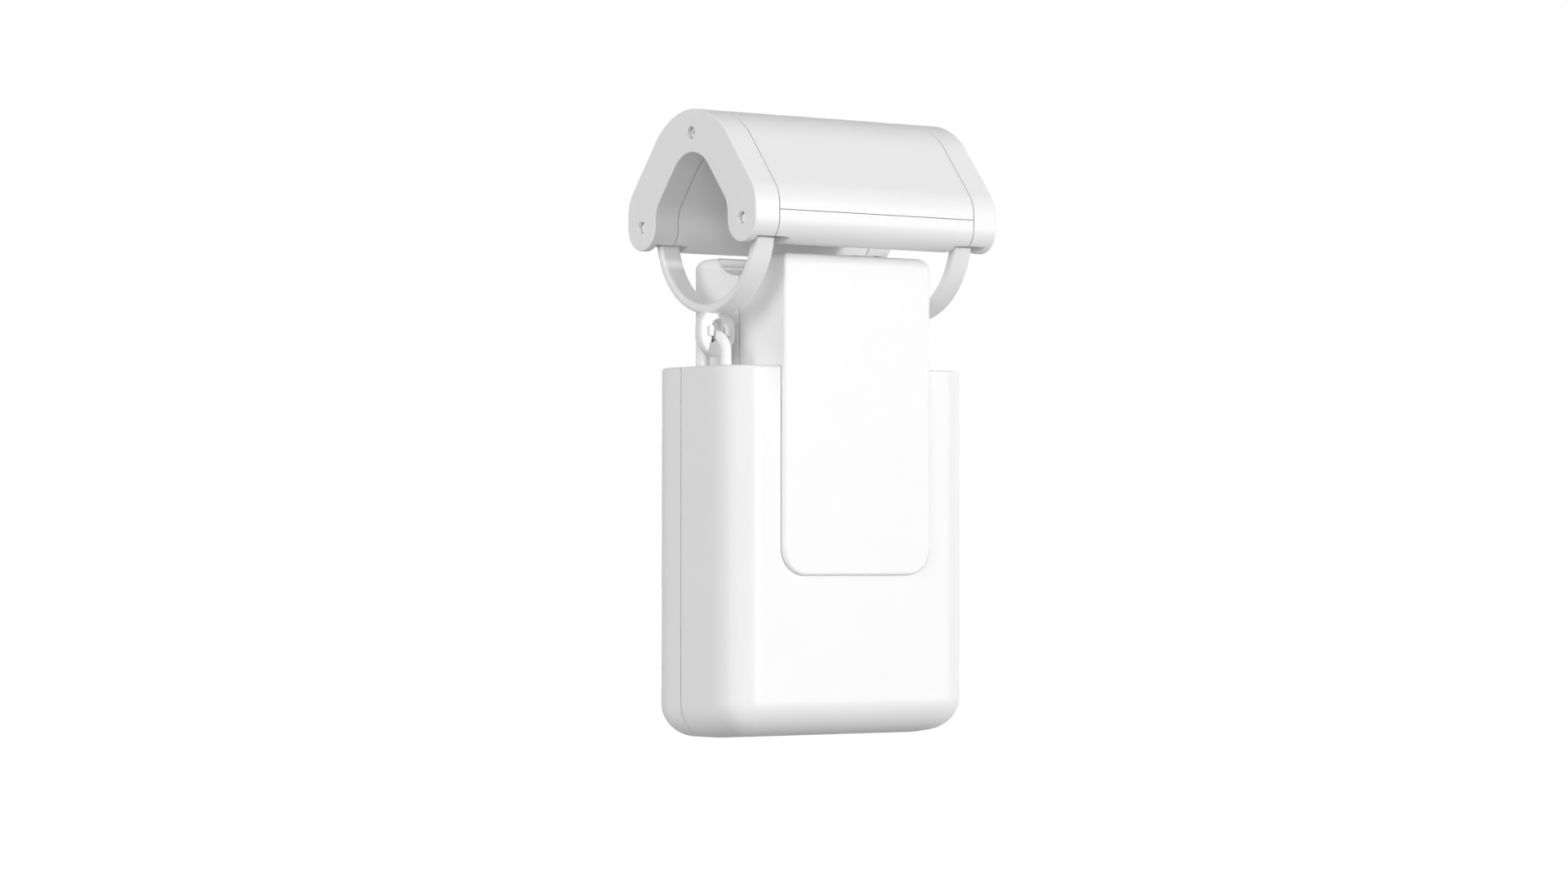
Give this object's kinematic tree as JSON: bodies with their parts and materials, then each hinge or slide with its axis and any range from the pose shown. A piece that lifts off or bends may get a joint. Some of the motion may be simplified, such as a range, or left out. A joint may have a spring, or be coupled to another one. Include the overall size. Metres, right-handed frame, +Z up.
{
  "type": "smart curtain robot",
  "caption": "Curtain robot that hangs from a round rod by a saddle and straps and drives itself along with a spring-loaded wheel head.",
  "frame": {"origin": "on the axis of the rod that carries the robot, at the middle of the saddle", "axes": "+X along the rod to the right as seen from the front, +Y to the rear, +Z up"},
  "size_m": [0.0878, 0.0626, 0.1802],
  "materials": {
    "white_plastic": "fine matte texture",
    "white_wire": "white coated steel",
    "grey_plastic": "glass-filled, moulded",
    "black_rubber": "moulded tread",
    "gear_plastic": "natural acetal",
    "steel": "zinc plated",
    "brass": "turned or stamped",
    "cell_sleeve": "shrink sleeve over a steel can",
    "board_green": "solder mask",
    "black_plastic": "moulded",
    "clear_plastic": "frosted, moulded"
  },
  "bodies": {
    "hanger": {"saddle_hood": "white_plastic", "saddle_frame": "white_plastic", "end_cap_left": "white_plastic", "end_cap_right": "white_plastic", "end_cap_screws": "white_wire", "strap_pins": "white_wire", "strap_left": "white_plastic", "strap_right": "white_plastic", "roller_axles": "steel"},
    "roller_left": {"roller_left": "black_rubber"},
    "roller_right": {"roller_right": "black_rubber"},
    "housing": {"front_housing": "white_plastic", "rear_cover": "white_plastic", "housing_screws": "steel", "bail_left": "white_wire", "bail_right": "white_wire", "bail_anchor_left": "grey_plastic", "bail_anchor_right": "grey_plastic", "battery_carrier": "grey_plastic", "carrier_screws": "steel", "battery_left": "cell_sleeve", "battery_right": "cell_sleeve", "battery_contacts": "brass", "guide_bolts": "steel", "lift_spring_left": "steel", "lift_spring_right": "steel", "circuit_board": "board_green", "board_screws": "steel", "radio_module": "steel", "tactile_switch": "black_plastic", "status_led": "clear_plastic", "light_pipe": "clear_plastic", "usb_socket": "steel"},
    "drive_head": {"head_front_shell": "white_plastic", "head_rear_shell": "white_plastic", "head_screws": "steel", "gear_frame": "grey_plastic", "gear_cover": "grey_plastic", "drive_motor": "steel", "motor_screws": "steel", "axle_bushes": "brass", "idler_axle": "steel"},
    "drive_wheel": {"wheel_axle": "steel", "wheel_hub": "grey_plastic", "wheel_tyre": "black_rubber", "wheel_gear": "gear_plastic"},
    "idler": {"idler_gear": "gear_plastic"},
    "motor_rotor": {"motor_shaft": "steel", "motor_pinion": "brass"},
    "button": {"button_cap": "white_plastic", "switch_plunger": "black_plastic"}
  },
  "joints": [
    {"name": "housing_swing", "type": "hinge", "parent": "hanger", "child": "housing", "pos_m": [0, -0.001, -0.0384], "axis": [1, 0, 0], "range_deg": [-4, 4]},
    {"name": "head_slide", "type": "slide", "parent": "housing", "child": "drive_head", "axis": [0, 0, 1], "range_m": [-0.008, 0], "stiffness_N_per_m": 1500, "springref_m": 0.004, "deforming": ["lift_spring_left", "lift_spring_right"]},
    {"name": "wheel_spin", "type": "hinge", "parent": "drive_head", "child": "drive_wheel", "pos_m": [0, 0, -0.0265], "axis": [0, 1, 0], "continuous": true},
    {"name": "idler_spin", "type": "hinge", "parent": "drive_head", "child": "idler", "pos_m": [0, 0, -0.0409], "axis": [0, 1, 0], "continuous": true},
    {"name": "rotor_spin", "type": "hinge", "parent": "drive_head", "child": "motor_rotor", "pos_m": [0, 0, -0.0553], "axis": [0, 1, 0], "continuous": true},
    {"name": "roller_left_spin", "type": "hinge", "parent": "hanger", "child": "roller_left", "pos_m": [-0.02, 0, 0.02], "axis": [0, 1, 0], "continuous": true},
    {"name": "roller_right_spin", "type": "hinge", "parent": "hanger", "child": "roller_right", "pos_m": [0.02, 0, 0.02], "axis": [0, 1, 0], "continuous": true},
    {"name": "button_press", "type": "slide", "parent": "housing", "child": "button", "axis": [0, -1, 0], "range_m": [0, 0.0006], "stiffness_N_per_m": 800, "springref_m": -0.0005}
  ],
  "couplings": [
    {"joint": "idler_spin", "follows": "wheel_spin", "ratio": -2},
    {"joint": "rotor_spin", "follows": "wheel_spin", "ratio": 5.2}
  ]
}
